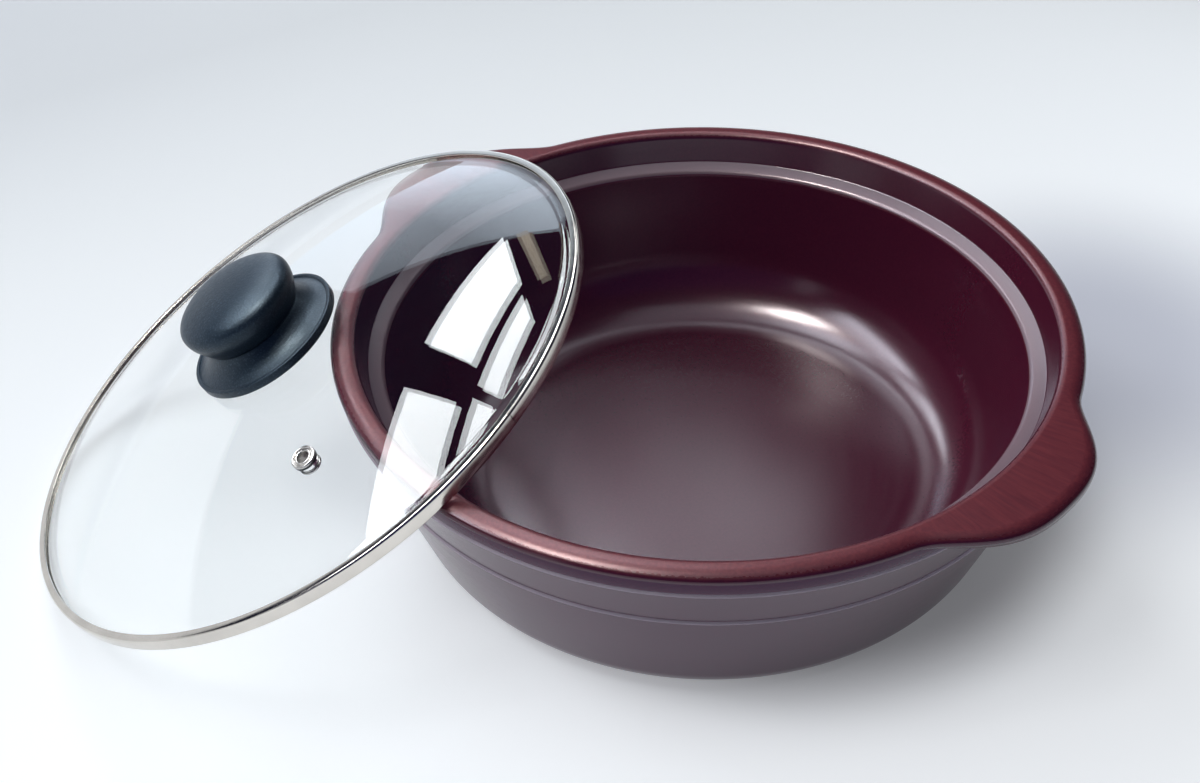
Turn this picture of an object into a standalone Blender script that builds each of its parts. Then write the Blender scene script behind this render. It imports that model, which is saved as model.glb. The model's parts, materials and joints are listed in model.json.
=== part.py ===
"""Clay saucepan with a glass lid leaning against its rim.

Units are metres and +Z is up. The pot stands on z = 0 with its axis on Z. The lid is
modelled in its own frame, with its lower edge at z = 0 and its knob pointing up +Z, and
an empty then leans it against the pot's rim, with its lower edge on the table.
"""
from math import acos, asin, cos, degrees, hypot, pi, radians, sin, sqrt, tan

import bmesh
import bpy
from mathutils import Matrix, Vector

# General
GAP = 0.0003                  # between pieces that touch
MERGE = 0.000001              # merges the points of a turned piece that lie on its axis
SHARP_EDGE = radians(32)      # edges that bend by more than this are shaded as edges

# Lid: glass with a steel band rolled round its edge, turned about the lid's own axis
LID_RADIUS = 0.1200           # outside of the band
GLASS_THICKNESS = 0.0040
DOME_RISE = 0.0184            # from the glass's flat edge to its middle
FLAT_SHOWN = 0.0018           # width of the glass's flat edge that the band leaves bare
BAND_THICKNESS = 0.0005
BAND_LIP = 0.0030             # how far the band covers the glass
BAND_BEND = 0.0005            # inner radius of the band's two bends
BAND_SEAM_GAP = 0.0003
BAND_SEAM_AZIMUTH = radians(-43.4)
LID_COLUMNS = 64
DOME_RINGS = 8

# Pot, turned about Z from its lid seat outwards
SEAT_CLEARANCE = 0.0034       # between the seated lid and the collar round it
SEAT_OVERLAP = 0.0024         # how much of the lid's edge rests on the seat
SEAT_DEPTH = 0.0115           # seat's outer edge, below the rim
SEAT_FALL = 0.0022            # how far the seat falls towards its inner edge
SEAT_CORNER_ROUND = 0.0009
SEAT_EDGE_ROUND = 0.0030
COLLAR_DRAFT = 0.0036         # how much wider the collar is at the rim than at the seat
RIM_WIDTH = 0.0085            # rim's top, from its inner to its outer edge
RIM_EDGE_ROUND = 0.0032
POT_HEIGHT = 0.0820
BASE_CORNER_ROUND = 0.0200    # outer corner between wall and base
FLOOR_THICKNESS = 0.0090
FLOOR_ROUND = 0.0300          # inner corner between wall and floor
LIP_THICKNESS = 0.0034        # the rim's lip, at its outer edge
LIP_OVERHANG = 0.0017         # how far the lip stands out from the wall
LIP_ROUND = 0.0021
RIM_CROWN_RADIUS = 0.0080     # the rim's top is crowned towards its outer edge
RIM_CROWN_START = 60.0        # degrees up from the level where the crown takes over
LIP_ROOT = 0.0012             # height of the slope under the lip
OUTER_TAPER = 0.340           # radius lost per height of outer wall
INNER_TAPER = 0.210           # radius lost per height of inner wall
STEP_SIZE = 0.0006            # each fine step turned into the outer wall
STEP_BELOW_EARS = 0.0009      # first step, below the ears' roots
STEP_SPACING = 0.0190         # second step, below the first
POT_COLUMNS = 80

# The two ears, pulled out of the lip
EAR_AZIMUTH = radians(-39.6)  # first ear; the second one is opposite
EAR_REACH = 0.0158            # how far an ear stands out past the rim
EAR_HALF_ANGLE = radians(21.5)
EAR_SHOULDER = 1.54           # higher makes a squarer ear
EAR_EDGE_EXTRA = 0.0016       # an ear's edge is this much thicker than the lip
EAR_ROOT_DEPTH = 0.0040       # how far an ear's underside runs down the wall
COLUMN_CROWDING = 0.36        # share by which the columns draw together at the ears

# Steam vent: an eyelet through the glass and the washer that it is clinched over
VENT_DISTANCE = 0.0717        # from the lid's axis
VENT_AZIMUTH = radians(-77.6)
VENT_BORE_RADIUS = 0.0022
VENT_WALL = 0.0009
VENT_FLANGE_WIDTH = 0.0015
VENT_FLANGE_HEIGHT = 0.0019
VENT_WASHER_WIDTH = 0.0010
VENT_WASHER_THICKNESS = 0.0006
VENT_COLUMNS = 24

# Knob: a grip over a flared base, both held by one screw on the lid's axis
KNOB_NECK_RADIUS = 0.0200
KNOB_NECK_HEIGHT = 0.0092     # from the base's boss to the neck
GRIP_FLARE = 0.0033           # grip's widest radius, past the neck
GRIP_HEIGHT = 0.0164          # from the neck to the grip's top
GRIP_CROWN = 0.0040           # dome on the grip's top
GRIP_SHOULDER = 0.0034        # rounding between the grip's side and its crown
SKIRT_FLARE = 0.0096          # base's outer radius, past the neck
SKIRT_EDGE = 0.0020           # height of the base's upright edge
SKIRT_WALL = 0.0016
SKIRT_DROP = 0.0007           # the base's edge hangs this far below its boss
RIM_LINE_RISE = 0.0006        # raised line round the base's edge
RIM_LINE_WIDTH = 0.0012
KNOB_SOFTENING = 0.0004       # small chamfers on the knob's edges
BOSS_RADIUS = 0.0110
KNOB_COLUMNS = 36

# Fastening under the knob
SCREW_RADIUS = 0.0024
SCREW_HEAD_RADIUS = 0.0056
SCREW_HEAD_HEIGHT = 0.0026
SCREW_POINT = 0.0008
HOLE_CLEARANCE = 0.0011       # round the screw, in the glass, the gaskets and the base
RECESS_RADIUS = 0.0028        # cross recess in the screw's head
RECESS_WIDTH = 0.0011
RECESS_DEPTH = 0.0014
GASKET_THICKNESS = 0.0010
WASHER_MARGIN = 0.0034        # washer's radius, past the screw's head
WASHER_THICKNESS = 0.0010
GASKET_MARGIN = 0.0010        # lower gasket's radius, past the washer
INSERT_WALL = 0.0019
INSERT_COVER = 0.0054         # plastic left over the insert, to the grip's top
INSERT_GROOVE = 0.0005
INSERT_SPARE = 0.0030         # insert left empty above the screw's point
SMALL_COLUMNS = 20

# How the lid leans
LEAN_AZIMUTH = radians(189.2)    # the way the knob points, seen from above
LEAN_PLACE = radians(185.06)     # the way to the lid's lower edge's middle, from the pot's axis
LEAN_STANDOFF = 0.0141           # that middle's distance, past the rim's outer edge
LEAN_SAMPLES = 480               # azimuths at which the rim is tested
LEAN_STEPS = 26                  # halvings of the tilt's range
TILT_RANGE = (radians(8), radians(65))

# Sizes that follow from the ones above
SEAT_RADIUS = LID_RADIUS + SEAT_CLEARANCE
MOUTH_RADIUS = LID_RADIUS - SEAT_OVERLAP
RIM_INNER_RADIUS = SEAT_RADIUS + COLLAR_DRAFT
RIM_RADIUS = RIM_INNER_RADIUS + RIM_WIDTH
WALL_TOP_RADIUS = RIM_RADIUS - LIP_OVERHANG
FIRST_STEP_DEPTH = LIP_THICKNESS + LIP_ROOT + EAR_ROOT_DEPTH + STEP_BELOW_EARS
SECOND_STEP_DEPTH = FIRST_STEP_DEPTH + STEP_SPACING

GLASS_EDGE = LID_RADIUS - BAND_THICKNESS - GAP
GLASS_LOW = BAND_THICKNESS + GAP
BAND_HEIGHT = GLASS_LOW + GLASS_THICKNESS + GAP + BAND_THICKNESS
BAND_ROUND = BAND_THICKNESS + BAND_BEND
DOME_EDGE = LID_RADIUS - BAND_LIP - FLAT_SHOWN
DOME_SPHERE = (DOME_EDGE ** 2 + DOME_RISE ** 2) / (2 * DOME_RISE)

VENT_BARREL_RADIUS = VENT_BORE_RADIUS + VENT_WALL
VENT_FLANGE_RADIUS = VENT_BARREL_RADIUS + VENT_FLANGE_WIDTH
VENT_WASHER_RADIUS = VENT_BARREL_RADIUS + VENT_WASHER_WIDTH

HOLE_RADIUS = SCREW_RADIUS + HOLE_CLEARANCE
WASHER_RADIUS = SCREW_HEAD_RADIUS + WASHER_MARGIN
LOWER_GASKET_RADIUS = WASHER_RADIUS + GASKET_MARGIN
THREAD_RADIUS = SCREW_RADIUS + GAP
INSERT_RADIUS = THREAD_RADIUS + INSERT_WALL
GRIP_RADIUS = KNOB_NECK_RADIUS + GRIP_FLARE
BASE_RADIUS = KNOB_NECK_RADIUS + SKIRT_FLARE


def clear_scene():
    for item in list(bpy.data.objects):
        bpy.data.objects.remove(item, do_unlink=True)


def material(name, colour, roughness, metallic=0.0, coat=0.0, transmission=0.0):
    made = bpy.data.materials.new(name)
    made.use_nodes = True
    shader = made.node_tree.nodes["Principled BSDF"]
    shader.inputs["Base Color"].default_value = (*colour, 1.0)
    shader.inputs["Roughness"].default_value = roughness
    shader.inputs["Metallic"].default_value = metallic
    shader.inputs["Coat Weight"].default_value = coat
    shader.inputs["Transmission Weight"].default_value = transmission
    return made


def arc(centre, radius, start, end, count):
    """Points on an arc in the radius-height plane; the angles are in degrees."""
    points = []
    for index in range(count):
        angle = radians(start + (end - start) * index / (count - 1))
        points.append((centre[0] + radius * cos(angle), centre[1] + radius * sin(angle)))
    return points


def round_corner(before, corner, after, radius, count):
    """Points of the arc that rounds a corner of a profile."""
    first = (Vector(before) - Vector(corner)).normalized()
    second = (Vector(after) - Vector(corner)).normalized()
    half = acos(first.dot(second)) / 2
    centre = Vector(corner) + (first + second).normalized() * (radius / sin(half))
    start = Vector(corner) + first * (radius / tan(half)) - centre
    end = Vector(corner) + second * (radius / tan(half)) - centre
    points = []
    for index in range(count):
        direction = start.slerp(end, index / (count - 1)).normalized()
        points.append(tuple(centre + direction * radius))
    return points


def ring_profile(inner, outer, low, high):
    return [(inner, low), (outer, low), (outer, high), (inner, high)]


def turned(name, profile, columns, finish, closed=False, open_angle=0.0):
    """Turn a profile about Z. A closed profile makes a ring, open_angle leaves it split."""
    mesh = bpy.data.meshes.new(name)
    shape = bmesh.new()
    verts = [shape.verts.new((radius, 0.0, height)) for radius, height in profile]
    edges = [shape.edges.new(pair) for pair in zip(verts, verts[1:])]
    if closed:
        edges.append(shape.edges.new((verts[-1], verts[0])))
    bmesh.ops.spin(shape, geom=verts + edges, cent=(0, 0, 0), axis=(0, 0, 1), dvec=(0, 0, 0),
                   angle=2 * pi - open_angle, steps=columns, use_merge=open_angle == 0.0)
    bmesh.ops.remove_doubles(shape, verts=shape.verts, dist=MERGE)
    if open_angle:
        ends = [edge for edge in shape.edges if edge.is_boundary]
        bmesh.ops.holes_fill(shape, edges=ends, sides=0)
    bmesh.ops.recalc_face_normals(shape, faces=shape.faces)
    shape.to_mesh(mesh)
    shape.free()
    mesh.shade_smooth()
    mesh.set_sharp_from_angle(angle=SHARP_EDGE)
    mesh.materials.append(finish)
    piece = bpy.data.objects.new(name, mesh)
    bpy.context.scene.collection.objects.link(piece)
    return piece


def cutting_tool(name, shape):
    """Turn a bmesh into an object that only cuts other pieces."""
    mesh = bpy.data.meshes.new(name)
    shape.to_mesh(mesh)
    shape.free()
    tool = bpy.data.objects.new(name, mesh)
    bpy.context.scene.collection.objects.link(tool)
    tool.hide_render = True
    tool.display_type = "WIRE"
    return tool


def cut(piece, tool):
    modifier = piece.modifiers.new("cut " + tool.name, "BOOLEAN")
    modifier.operation = "DIFFERENCE"
    modifier.solver = "EXACT"
    modifier.object = tool


def ear_reach(azimuth):
    """How far the lip is pulled out at an azimuth."""
    nearest = pi
    for ear in (EAR_AZIMUTH, EAR_AZIMUTH + pi):
        nearest = min(nearest, abs((azimuth - ear + pi) % (2 * pi) - pi))
    if nearest >= EAR_HALF_ANGLE:
        return 0.0
    return EAR_REACH * 0.5 * (1 + cos(pi * (nearest / EAR_HALF_ANGLE) ** EAR_SHOULDER))


def outer_wall(depth):
    """Outer wall's radius at a depth below the rim, without its steps."""
    return WALL_TOP_RADIUS + STEP_SIZE - OUTER_TAPER * (depth - FIRST_STEP_DEPTH)


def inner_wall(depth):
    return MOUTH_RADIUS - INNER_TAPER * (depth - SEAT_DEPTH - SEAT_FALL - SEAT_EDGE_ROUND)


def pot_outside():
    """Profile from the base's centre to the upper step, just below the lip."""
    base_corner = (outer_wall(POT_HEIGHT), 0.0)
    second = (outer_wall(SECOND_STEP_DEPTH), POT_HEIGHT - SECOND_STEP_DEPTH)
    first = (outer_wall(FIRST_STEP_DEPTH), POT_HEIGHT - FIRST_STEP_DEPTH)
    points = [(0.0, 0.0)]
    points += round_corner((0.0, 0.0), base_corner, second, BASE_CORNER_ROUND, 7)
    for radius, height in (second, first):
        points.append((radius, height))
        points.append((radius - STEP_SIZE, height + STEP_SIZE / 2))
    return points


def rim_edge():
    """The lip's rounded edge and crowned top, from its widest point to the highest."""
    share = cos(radians(RIM_CROWN_START))
    lift = sin(radians(RIM_CROWN_START))
    step = RIM_CROWN_RADIUS - LIP_ROUND
    round_centre = (RIM_RADIUS - LIP_ROUND, POT_HEIGHT - RIM_CROWN_RADIUS + step * lift)
    crown_centre = (RIM_RADIUS - LIP_ROUND - step * share, POT_HEIGHT - RIM_CROWN_RADIUS)
    points = arc(round_centre, LIP_ROUND, 0.0, RIM_CROWN_START, 5)
    return points + arc(crown_centre, RIM_CROWN_RADIUS, RIM_CROWN_START, 90.0, 5)[1:]


def pot_lip():
    """Profile of the lip: radius, height, share of an ear's reach, and drop at an ear."""
    low = POT_HEIGHT - LIP_THICKNESS
    edge_height = low + (LIP_THICKNESS - LIP_ROUND) / 4
    stations = [(WALL_TOP_RADIUS, low - LIP_ROOT, 0.0, EAR_ROOT_DEPTH)]
    stations.append((RIM_RADIUS - LIP_OVERHANG / 2, low - LIP_ROOT / 3, 0.6, EAR_ROOT_DEPTH / 2.5))
    stations.append((RIM_RADIUS - LIP_OVERHANG / 8, edge_height, 1.0, EAR_EDGE_EXTRA))
    for radius, height in rim_edge():
        stations.append((radius, height, 1.0, 0.0))
    return stations


def pot_inside():
    """Profile of the rim's inner edge, collar, seat, wall and floor, to the floor's centre."""
    rim_outer = (RIM_RADIUS, POT_HEIGHT)
    rim_inner = (RIM_INNER_RADIUS, POT_HEIGHT)
    seat_outer = (SEAT_RADIUS, POT_HEIGHT - SEAT_DEPTH)
    seat_inner = (MOUTH_RADIUS, POT_HEIGHT - SEAT_DEPTH - SEAT_FALL)
    floor_corner = (inner_wall(POT_HEIGHT - FLOOR_THICKNESS), FLOOR_THICKNESS)
    floor_centre = (0.0, FLOOR_THICKNESS)
    points = round_corner(rim_outer, rim_inner, seat_outer, RIM_EDGE_ROUND, 4)
    points += round_corner(rim_inner, seat_outer, seat_inner, SEAT_CORNER_ROUND, 3)
    points += round_corner(seat_outer, seat_inner, floor_corner, SEAT_EDGE_ROUND, 5)
    points += round_corner(seat_inner, floor_corner, floor_centre, FLOOR_ROUND, 9)
    points.append(floor_centre)
    return points


def make_pot(finish):
    stations = [(radius, height, 0.0, 0.0) for radius, height in pot_outside()]
    stations += pot_lip()
    stations += [(radius, height, 0.0, 0.0) for radius, height in pot_inside()]
    pot = turned("pot_body", [station[:2] for station in stations], POT_COLUMNS, finish)
    pull_ears(pot.data, stations)
    return pot


def pull_ears(mesh, stations):
    """Crowd the columns towards the ears, then pull the lip out and down into each ear."""
    for vertex in mesh.vertices:
        radius = hypot(vertex.co.x, vertex.co.y)
        if radius < MERGE:
            continue
        away = [hypot(station[0] - radius, station[1] - vertex.co.z) for station in stations]
        reach, drop = stations[away.index(min(away))][2:]
        azimuth = Vector((vertex.co.x, vertex.co.y)).angle_signed(Vector((1.0, 0.0)))
        azimuth -= COLUMN_CROWDING / 2 * sin(2 * (azimuth - EAR_AZIMUTH))
        pull = ear_reach(azimuth)
        radius += reach * pull
        height = vertex.co.z - drop * sqrt(pull / EAR_REACH)
        vertex.co = (radius * cos(azimuth), radius * sin(azimuth), height)


def glass_height(radius):
    """Underside of the glass, above the lid's lower edge."""
    if radius > DOME_EDGE:
        return GLASS_LOW
    return GLASS_LOW + DOME_RISE - (DOME_SPHERE - sqrt(DOME_SPHERE ** 2 - radius ** 2))


def make_glass(finish):
    under = []
    for index in range(DOME_RINGS):
        radius = HOLE_RADIUS + (DOME_EDGE - HOLE_RADIUS) * index / (DOME_RINGS - 1)
        under.append((radius, glass_height(radius)))
    under.append((GLASS_EDGE, GLASS_LOW))
    over = [(radius, height + GLASS_THICKNESS) for radius, height in reversed(under)]
    glass = turned("lid_glass", under + over, LID_COLUMNS, finish, closed=True)
    drill = bmesh.new()
    bmesh.ops.create_cone(drill, cap_ends=True, segments=VENT_COLUMNS,
                          radius1=VENT_BARREL_RADIUS + GAP, radius2=VENT_BARREL_RADIUS + GAP,
                          depth=4 * GLASS_THICKNESS)
    hole = cutting_tool("vent_hole_cutter", drill)
    place_at_vent(hole)
    cut(glass, hole)
    return [glass, hole]


def make_band(finish):
    """Rolled steel channel that grips the glass's edge; its ends meet at a seam."""
    inside = LID_RADIUS - BAND_LIP
    wall = BAND_THICKNESS
    bend = LID_RADIUS - BAND_ROUND
    points = [(inside, 0.0)]
    points += arc((bend, BAND_ROUND), BAND_ROUND, -90, 0, 3)
    points += arc((bend, BAND_HEIGHT - BAND_ROUND), BAND_ROUND, 0, 90, 4)
    points += [(inside, BAND_HEIGHT), (inside, BAND_HEIGHT - wall)]
    points += [(LID_RADIUS - wall, BAND_HEIGHT - wall), (LID_RADIUS - wall, wall), (inside, wall)]
    band = turned("lid_rim_band", points, LID_COLUMNS, finish, closed=True,
                  open_angle=BAND_SEAM_GAP / LID_RADIUS)
    band.rotation_euler.z = BAND_SEAM_AZIMUTH
    return band


def place_at_vent(piece):
    """Stand a piece square to the glass at the vent, its z = 0 on the glass's upper face."""
    over = glass_height(VENT_DISTANCE) + GLASS_THICKNESS
    piece.location = (VENT_DISTANCE * cos(VENT_AZIMUTH), VENT_DISTANCE * sin(VENT_AZIMUTH), over)
    piece.rotation_euler = (0.0, asin(VENT_DISTANCE / DOME_SPHERE), VENT_AZIMUTH)


def make_vent(steel_finish, washer_finish):
    washer_high = -GLASS_THICKNESS - GAP
    washer_low = washer_high - VENT_WASHER_THICKNESS
    clinch = washer_low - GAP
    flange_top = GAP + VENT_FLANGE_HEIGHT
    half = VENT_FLANGE_HEIGHT / 2
    curl = VENT_BARREL_RADIUS + half
    points = [(VENT_BORE_RADIUS, clinch - half), (curl, clinch - half), (curl, clinch)]
    points += [(VENT_BARREL_RADIUS, clinch), (VENT_BARREL_RADIUS, GAP)]
    points += arc((VENT_FLANGE_RADIUS - half, GAP + half), half, -90, 90, 4)
    points += arc((VENT_BORE_RADIUS + half, flange_top - half), half, 90, 180, 3)
    eyelet = turned("vent_eyelet", points, VENT_COLUMNS, steel_finish, closed=True)
    ring = ring_profile(VENT_BARREL_RADIUS + GAP, VENT_WASHER_RADIUS, washer_low, washer_high)
    washer = turned("vent_washer", ring, VENT_COLUMNS, washer_finish, closed=True)
    for piece in (eyelet, washer):
        place_at_vent(piece)
    return [eyelet, washer]


def make_knob(finishes):
    """Everything that the knob's screw holds, from the grip down to the screw's head."""
    gasket_low = glass_height(0.0) + GLASS_THICKNESS + GAP
    gasket_high = gasket_low + GASKET_THICKNESS
    boss = gasket_high + GAP
    neck = boss + KNOB_NECK_HEIGHT
    insert_low = neck + 2 * GAP
    insert_high = insert_low + GRIP_HEIGHT - INSERT_COVER
    under_high = glass_height(LOWER_GASKET_RADIUS) - GAP
    under_low = under_high - GASKET_THICKNESS
    washer_high = under_low - GAP
    washer_low = washer_high - WASHER_THICKNESS

    top_gasket = ring_profile(HOLE_RADIUS, BOSS_RADIUS, gasket_low, gasket_high)
    under_gasket = ring_profile(HOLE_RADIUS, LOWER_GASKET_RADIUS, under_low, under_high)
    washer = ring_profile(THREAD_RADIUS, WASHER_RADIUS, washer_low, washer_high)
    insert = insert_profile(insert_low, insert_high)
    rings = [
        ("knob_gasket_top", top_gasket, SMALL_COLUMNS, "gasket"),
        ("knob_gasket_under", under_gasket, SMALL_COLUMNS, "gasket"),
        ("knob_washer", washer, SMALL_COLUMNS, "steel"),
        ("knob_insert", insert, SMALL_COLUMNS, "brass"),
        ("knob_base", base_profile(boss, neck), KNOB_COLUMNS, "knob"),
    ]
    pieces = [turned(name, profile, columns, finishes[finish], closed=True)
              for name, profile, columns, finish in rings]
    grip = grip_profile(neck + GAP, insert_high + GAP)
    pieces.append(turned("knob_grip", grip, KNOB_COLUMNS, finishes["knob"]))
    pieces += make_screw(washer_low - GAP, insert_high - INSERT_SPARE, finishes["steel"])
    return pieces


def base_profile(boss, neck):
    """Flared base with a raised line at its edge, hollow under, with a boss in the middle."""
    soft = KNOB_SOFTENING
    edge_top = boss + SKIRT_EDGE
    low = boss - SKIRT_DROP
    line_top = edge_top + RIM_LINE_RISE
    line_inner = BASE_RADIUS - soft - RIM_LINE_WIDTH
    ceiling = edge_top - SKIRT_WALL / 2
    skirt_inner = BASE_RADIUS - SKIRT_WALL
    points = [(HOLE_RADIUS, boss), (BOSS_RADIUS, boss), (BOSS_RADIUS, ceiling)]
    points += [(skirt_inner, ceiling - SKIRT_WALL / 2), (skirt_inner, low)]
    points += [(BASE_RADIUS - soft, low), (BASE_RADIUS, low + soft), (BASE_RADIUS, edge_top)]
    points += [(BASE_RADIUS - soft, line_top), (line_inner + soft, line_top)]
    count = 6
    for index in range(count):
        share = index / (count - 1)
        radius = line_inner + (KNOB_NECK_RADIUS - line_inner) * share
        rise = (neck - soft - edge_top) * (share + share ** 3) / 2
        points.append((radius, edge_top + rise))
    points += [(KNOB_NECK_RADIUS - soft, neck), (HOLE_RADIUS, neck)]
    return points


def grip_profile(low, pocket_top):
    """Grip: waisted at the neck, widest near the top, with a low crown and a pocket below."""
    soft = KNOB_SOFTENING
    top = low + GRIP_HEIGHT
    crown_edge = top - GRIP_CROWN
    widest = crown_edge - GRIP_SHOULDER
    crown_radius = GRIP_RADIUS - GRIP_SHOULDER / 2
    pocket = INSERT_RADIUS + GAP
    points = [(0.0, pocket_top), (pocket, pocket_top), (pocket, low)]
    points += [(KNOB_NECK_RADIUS - soft, low), (KNOB_NECK_RADIUS, low + soft)]
    for share in (0.2, 0.4, 0.6, 0.8, 1.0):
        radius = KNOB_NECK_RADIUS + GRIP_FLARE * sin(share * pi / 2)
        points.append((radius, low + soft + (widest - low - soft) * share))
    points.append((GRIP_RADIUS - GRIP_SHOULDER / 8, widest + GRIP_SHOULDER / 2))
    points.append((crown_radius, crown_edge))
    for share in (0.84, 0.58, 0.30):
        points.append((crown_radius * share, crown_edge + GRIP_CROWN * (1 - share ** 2)))
    points.append((0.0, top))
    return points


def insert_profile(low, high):
    """Threaded bush with a groove round its middle that holds it in the moulded grip."""
    middle = (low + high) / 2
    half = (high - low) / 8
    groove = INSERT_RADIUS - INSERT_GROOVE
    points = [(THREAD_RADIUS, low), (INSERT_RADIUS, low), (INSERT_RADIUS, middle - half)]
    points += [(groove, middle - half), (groove, middle + half), (INSERT_RADIUS, middle + half)]
    points += [(INSERT_RADIUS, high), (THREAD_RADIUS, high)]
    return points


def make_screw(bearing, tip, finish):
    """Pan-head screw that comes up through the glass, with a cross recess in its head."""
    low = bearing - SCREW_HEAD_HEIGHT
    points = [(0.0, low), (SCREW_HEAD_RADIUS * 0.45, low)]
    points += [(SCREW_HEAD_RADIUS * 0.8, low + SCREW_HEAD_HEIGHT * 0.15)]
    points += [(SCREW_HEAD_RADIUS, bearing - SCREW_HEAD_HEIGHT / 2), (SCREW_HEAD_RADIUS, bearing)]
    points += [(SCREW_RADIUS, bearing), (SCREW_RADIUS, tip - SCREW_POINT)]
    points += [(SCREW_RADIUS - SCREW_POINT, tip), (0.0, tip)]
    screw = turned("knob_screw", points, SMALL_COLUMNS, finish)
    tools = []
    for index in range(2):
        blade = bmesh.new()
        bmesh.ops.create_cube(blade, size=1.0)
        bmesh.ops.scale(blade, verts=blade.verts,
                        vec=(2 * RECESS_RADIUS, RECESS_WIDTH, 2 * RECESS_DEPTH))
        tool = cutting_tool("recess_cutter_%d" % index, blade)
        tool.location.z = low
        tool.rotation_euler.z = index * pi / 2
        cut(screw, tool)
        tools.append(tool)
    return [screw] + tools


def lean_axes(tilt):
    """Uphill, sideways and outward directions of the leaning lid."""
    outward = Vector((sin(tilt) * cos(LEAN_AZIMUTH), sin(tilt) * sin(LEAN_AZIMUTH), cos(tilt)))
    level = Vector((-cos(LEAN_AZIMUTH), -sin(LEAN_AZIMUTH), 0.0))
    uphill = (level - outward * level.dot(outward)).normalized()
    return uphill, outward.cross(uphill), outward


def lean_centre(tilt):
    """Middle of the lid's lower edge, when that edge touches the table at one point."""
    distance = RIM_RADIUS + LEAN_STANDOFF
    return Vector((distance * cos(LEAN_PLACE), distance * sin(LEAN_PLACE), LID_RADIUS * sin(tilt)))


def rim_points():
    """Points all over the top of the rim and of the ears."""
    points = []
    for index in range(LEAN_SAMPLES):
        azimuth = 2 * pi * index / LEAN_SAMPLES
        pull = ear_reach(azimuth)
        profile = [(RIM_INNER_RADIUS + RIM_EDGE_ROUND, POT_HEIGHT)]
        profile += [(radius + pull, height) for radius, height in rim_edge()]
        top_radius = profile[-1][0] - pull
        spread = 1 + int(pull / LIP_THICKNESS)
        for part in range(spread):
            profile.append((top_radius + pull * part / spread, POT_HEIGHT))
        for radius, height in profile:
            points.append(Vector((radius * cos(azimuth), radius * sin(azimuth), height)))
    return points


def lean_clearance(tilt, points):
    """Least distance, square to the lid, from the pot's rim to the lid's underside."""
    outward = lean_axes(tilt)[2]
    centre = lean_centre(tilt)
    least = POT_HEIGHT
    for point in points:
        offset = point - centre
        height = offset.dot(outward)
        radius = sqrt(max(0.0, offset.length_squared - height ** 2))
        if radius > LID_RADIUS:
            continue
        underside = 0.0 if radius > LID_RADIUS - BAND_LIP else glass_height(radius)
        least = min(least, underside - height)
    return least


def lean_tilt():
    """Tilt at which the lid, its lower edge on the table, just rests on the pot."""
    points = rim_points()
    low, high = TILT_RANGE
    for _ in range(LEAN_STEPS):
        middle = (low + high) / 2
        if lean_clearance(middle, points) < GAP:
            low = middle
        else:
            high = middle
    return high


def lean_empty():
    tilt = lean_tilt()
    turn = Matrix(lean_axes(tilt)).transposed().to_4x4()
    holder = bpy.data.objects.new("lid_lean", None)
    holder.matrix_world = Matrix.Translation(lean_centre(tilt)) @ turn
    bpy.context.scene.collection.objects.link(holder)
    print("lid tilt in degrees", round(degrees(tilt), 3))
    print("lid axis", [round(value, 6) for value in lean_axes(tilt)[2]])
    print("lid lower edge's middle", [round(value, 6) for value in lean_centre(tilt)])
    return holder


def main():
    clear_scene()
    make_pot(material("burgundy glaze", (0.105, 0.028, 0.042), 0.42, coat=0.15))
    lid = make_glass(material("clear glass", (0.93, 0.97, 0.97), 0.02, transmission=1.0))
    lid.append(make_band(material("polished steel", (0.62, 0.60, 0.57), 0.18, metallic=1.0)))
    lid += make_vent(material("vent steel", (0.60, 0.59, 0.57), 0.22, metallic=1.0),
                     material("washer steel", (0.50, 0.50, 0.49), 0.35, metallic=1.0))
    lid += make_knob({
        "knob": material("charcoal plastic", (0.022, 0.030, 0.040), 0.48),
        "gasket": material("clear silicone", (0.62, 0.63, 0.63), 0.45),
        "steel": material("screw steel", (0.55, 0.55, 0.54), 0.30, metallic=1.0),
        "brass": material("brass", (0.60, 0.45, 0.19), 0.35, metallic=1.0),
    })
    holder = lean_empty()
    for piece in lid:
        piece.parent = holder


main()
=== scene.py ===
import json
from math import acos, asin, cos, hypot, pi, radians, sin, sqrt, tan

import bmesh
import bpy
from mathutils import Euler, Matrix, Vector


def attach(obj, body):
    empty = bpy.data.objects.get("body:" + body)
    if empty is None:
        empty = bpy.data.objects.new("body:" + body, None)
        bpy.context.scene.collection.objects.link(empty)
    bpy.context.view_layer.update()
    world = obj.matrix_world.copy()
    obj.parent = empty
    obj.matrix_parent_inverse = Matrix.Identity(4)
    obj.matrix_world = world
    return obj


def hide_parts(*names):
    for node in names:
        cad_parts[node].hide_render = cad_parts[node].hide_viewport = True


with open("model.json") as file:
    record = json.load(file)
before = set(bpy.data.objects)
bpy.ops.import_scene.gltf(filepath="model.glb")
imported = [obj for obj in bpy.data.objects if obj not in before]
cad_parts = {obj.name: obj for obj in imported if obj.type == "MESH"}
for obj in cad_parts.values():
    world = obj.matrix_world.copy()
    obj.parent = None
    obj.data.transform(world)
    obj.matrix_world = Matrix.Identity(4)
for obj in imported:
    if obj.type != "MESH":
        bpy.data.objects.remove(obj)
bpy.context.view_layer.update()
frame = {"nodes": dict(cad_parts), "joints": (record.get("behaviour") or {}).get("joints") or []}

# Driving sizes, in metres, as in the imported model's source
GAP = 0.0003
LID_RADIUS = 0.1200
GLASS_THICKNESS = 0.0040
DOME_RISE = 0.0184
FLAT_SHOWN = 0.0018
BAND_THICKNESS = 0.0005
BAND_LIP = 0.0030
BAND_BEND = 0.0005
BAND_ROUND_SHARE = 0.98       # keeps the band's roundings clear of each other
BAND_SEAM_GAP = 0.0003
BAND_SEAM_AZIMUTH = radians(-43.4)

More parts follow.
